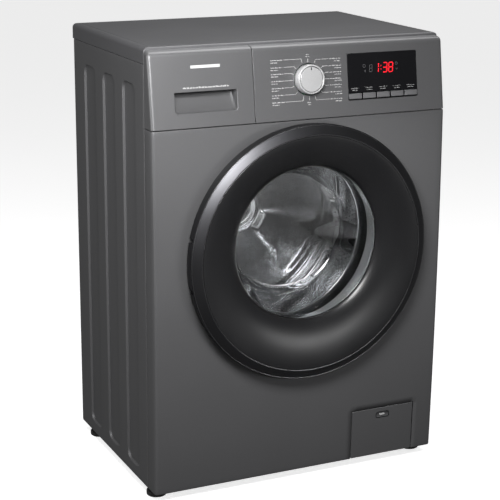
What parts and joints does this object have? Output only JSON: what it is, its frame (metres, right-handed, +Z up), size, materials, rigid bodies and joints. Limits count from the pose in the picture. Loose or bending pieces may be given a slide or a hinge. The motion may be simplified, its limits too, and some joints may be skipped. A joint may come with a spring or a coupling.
{
  "type": "front load washing machine",
  "caption": "Slim front loading washing machine in dark grey with a large round door, a detergent drawer, a program knob, a display with push buttons, and a drum hung on springs.",
  "frame": {"origin": "on the floor, in the middle of the overall box", "axes": "+Z up, the door and the controls face -Y, +X is to the right of someone who faces the machine"},
  "size_m": [0.595, 0.474, 0.845],
  "materials": {
    "titanium_paint": "satin",
    "titanium_plastic": "satin",
    "worktop_board": "satin",
    "black_gloss": "gloss",
    "black_plastic": "matte",
    "dark_chrome": "polished",
    "silver": "satin",
    "clear_glass": "polished",
    "grey_rubber": "matte",
    "black_rubber": "matte",
    "drum_steel": "polished",
    "zinc_steel": "satin",
    "tub_plastic": "matte",
    "white_plastic": "satin",
    "concrete": "matte",
    "cast_aluminium": "satin",
    "circuit_board": "satin"
  },
  "bodies": {
    "cabinet": {"side_panel_left": "titanium_paint", "side_panel_right": "titanium_paint", "rear_panel": "titanium_paint", "rear_cover": "titanium_paint", "top_lid": "worktop_board", "front_panel": "titanium_paint", "control_panel": "titanium_plastic", "base_frame": "zinc_steel", "front_brace": "zinc_steel", "drawer_housing": "white_plastic", "display_window": "black_gloss", "control_board": "circuit_board", "hinge_bracket": "zinc_steel", "door_lock": "white_plastic", "door_seal": "grey_rubber", "spring_left": "zinc_steel", "spring_right": "zinc_steel", "damper_left": "black_plastic", "damper_right": "black_plastic", "drain_pump": "black_plastic", "sump_hose": "black_rubber", "inlet_valve": "white_plastic", "outlet_elbow": "black_plastic", "cable_gland": "black_rubber"},
    "door": {"door_ring": "dark_chrome", "door_dish": "black_gloss", "door_frame": "black_plastic", "door_glass": "clear_glass", "door_hinge_arm": "zinc_steel", "door_latch": "zinc_steel"},
    "drawer": {"drawer_front": "titanium_plastic", "drawer_tray": "white_plastic"},
    "knob": {"program_knob": "silver"},
    "tub": {"tub_front": "tub_plastic", "tub_rear": "tub_plastic", "front_weight": "concrete", "top_weight": "concrete", "bearing_front": "zinc_steel", "bearing_rear": "zinc_steel", "heater": "zinc_steel", "motor": "cast_aluminium", "drive_belt": "black_rubber"},
    "drum": {"drum_basket": "drum_steel", "drum_spider": "cast_aluminium", "drum_lifter_1": "tub_plastic", "drum_lifter_2": "tub_plastic", "drum_lifter_3": "tub_plastic", "drum_pulley": "cast_aluminium"},
    "motor_shaft": {"motor_pulley": "zinc_steel"},
    "pump_flap": {"pump_flap": "titanium_plastic"},
    "filter": {"filter_cap": "black_plastic"},
    "button_1": {"button_1": "silver"},
    "button_2": {"button_2": "silver"},
    "button_3": {"button_3": "silver"},
    "button_4": {"button_4": "silver"},
    "button_5": {"button_5": "silver"},
    "foot_front_left": {"foot_front_left": "black_rubber"},
    "foot_front_right": {"foot_front_right": "black_rubber"},
    "foot_rear_left": {"foot_rear_left": "black_rubber"},
    "foot_rear_right": {"foot_rear_right": "black_rubber"}
  },
  "joints": [
    {"name": "door_hinge", "type": "hinge", "parent": "cabinet", "child": "door", "pos_m": [-0.225, -0.223, 0.459], "axis": [0, 0, -1], "range_deg": [0, 140]},
    {"name": "drawer_slide", "type": "slide", "parent": "cabinet", "child": "drawer", "axis": [0, -1, 0], "range_m": [0, 0.2]},
    {"name": "knob_turn", "type": "hinge", "parent": "cabinet", "child": "knob", "pos_m": [0.012, -0.18634, 0.7755], "axis": [0, -0.9891, 0.1475], "continuous": true},
    {"name": "tub_float", "type": "slide", "parent": "cabinet", "child": "tub", "axis": [0, 0, 1], "range_m": [-0.012, 0.008], "stiffness_N_per_m": 20000, "springref_m": 0.01425, "deforming": ["spring_left", "spring_right", "damper_left", "damper_right", "door_seal", "sump_hose"]},
    {"name": "drum_spin", "type": "hinge", "parent": "tub", "child": "drum", "pos_m": [0.004, 0.119, 0.47], "axis": [0, 1, 0], "continuous": true},
    {"name": "motor_spin", "type": "hinge", "parent": "tub", "child": "motor_shaft", "pos_m": [-0.18413, 0.148, 0.20132], "axis": [0, 1, 0], "continuous": true},
    {"name": "flap_hinge", "type": "hinge", "parent": "cabinet", "child": "pump_flap", "pos_m": [0.18375, -0.1935, 0.0235], "axis": [1, 0, 0], "range_deg": [0, 90]},
    {"name": "filter_turn", "type": "hinge", "parent": "cabinet", "child": "filter", "pos_m": [0.184, -0.1845, 0.069], "axis": [0, -1, 0], "range_deg": [0, 180]},
    {"name": "button_1_press", "type": "slide", "parent": "cabinet", "child": "button_1", "axis": [0, 0.9891, -0.1475], "range_m": [0, 0.0015], "stiffness_N_per_m": 600},
    {"name": "button_2_press", "type": "slide", "parent": "cabinet", "child": "button_2", "axis": [0, 0.9891, -0.1475], "range_m": [0, 0.0015], "stiffness_N_per_m": 600},
    {"name": "button_3_press", "type": "slide", "parent": "cabinet", "child": "button_3", "axis": [0, 0.9891, -0.1475], "range_m": [0, 0.0015], "stiffness_N_per_m": 600},
    {"name": "button_4_press", "type": "slide", "parent": "cabinet", "child": "button_4", "axis": [0, 0.9891, -0.1475], "range_m": [0, 0.0015], "stiffness_N_per_m": 600},
    {"name": "button_5_press", "type": "slide", "parent": "cabinet", "child": "button_5", "axis": [0, 0.9891, -0.1475], "range_m": [0, 0.0015], "stiffness_N_per_m": 600},
    {"name": "foot_front_left_screw", "type": "slide", "parent": "cabinet", "child": "foot_front_left", "axis": [0, 0, -1], "range_m": [0, 0.012]},
    {"name": "foot_front_right_screw", "type": "slide", "parent": "cabinet", "child": "foot_front_right", "axis": [0, 0, -1], "range_m": [0, 0.012]},
    {"name": "foot_rear_left_screw", "type": "slide", "parent": "cabinet", "child": "foot_rear_left", "axis": [0, 0, -1], "range_m": [0, 0.012]},
    {"name": "foot_rear_right_screw", "type": "slide", "parent": "cabinet", "child": "foot_rear_right", "axis": [0, 0, -1], "range_m": [0, 0.012]}
  ],
  "couplings": [
    {"joint": "motor_spin", "follows": "drum_spin", "ratio": 11.667}
  ]
}
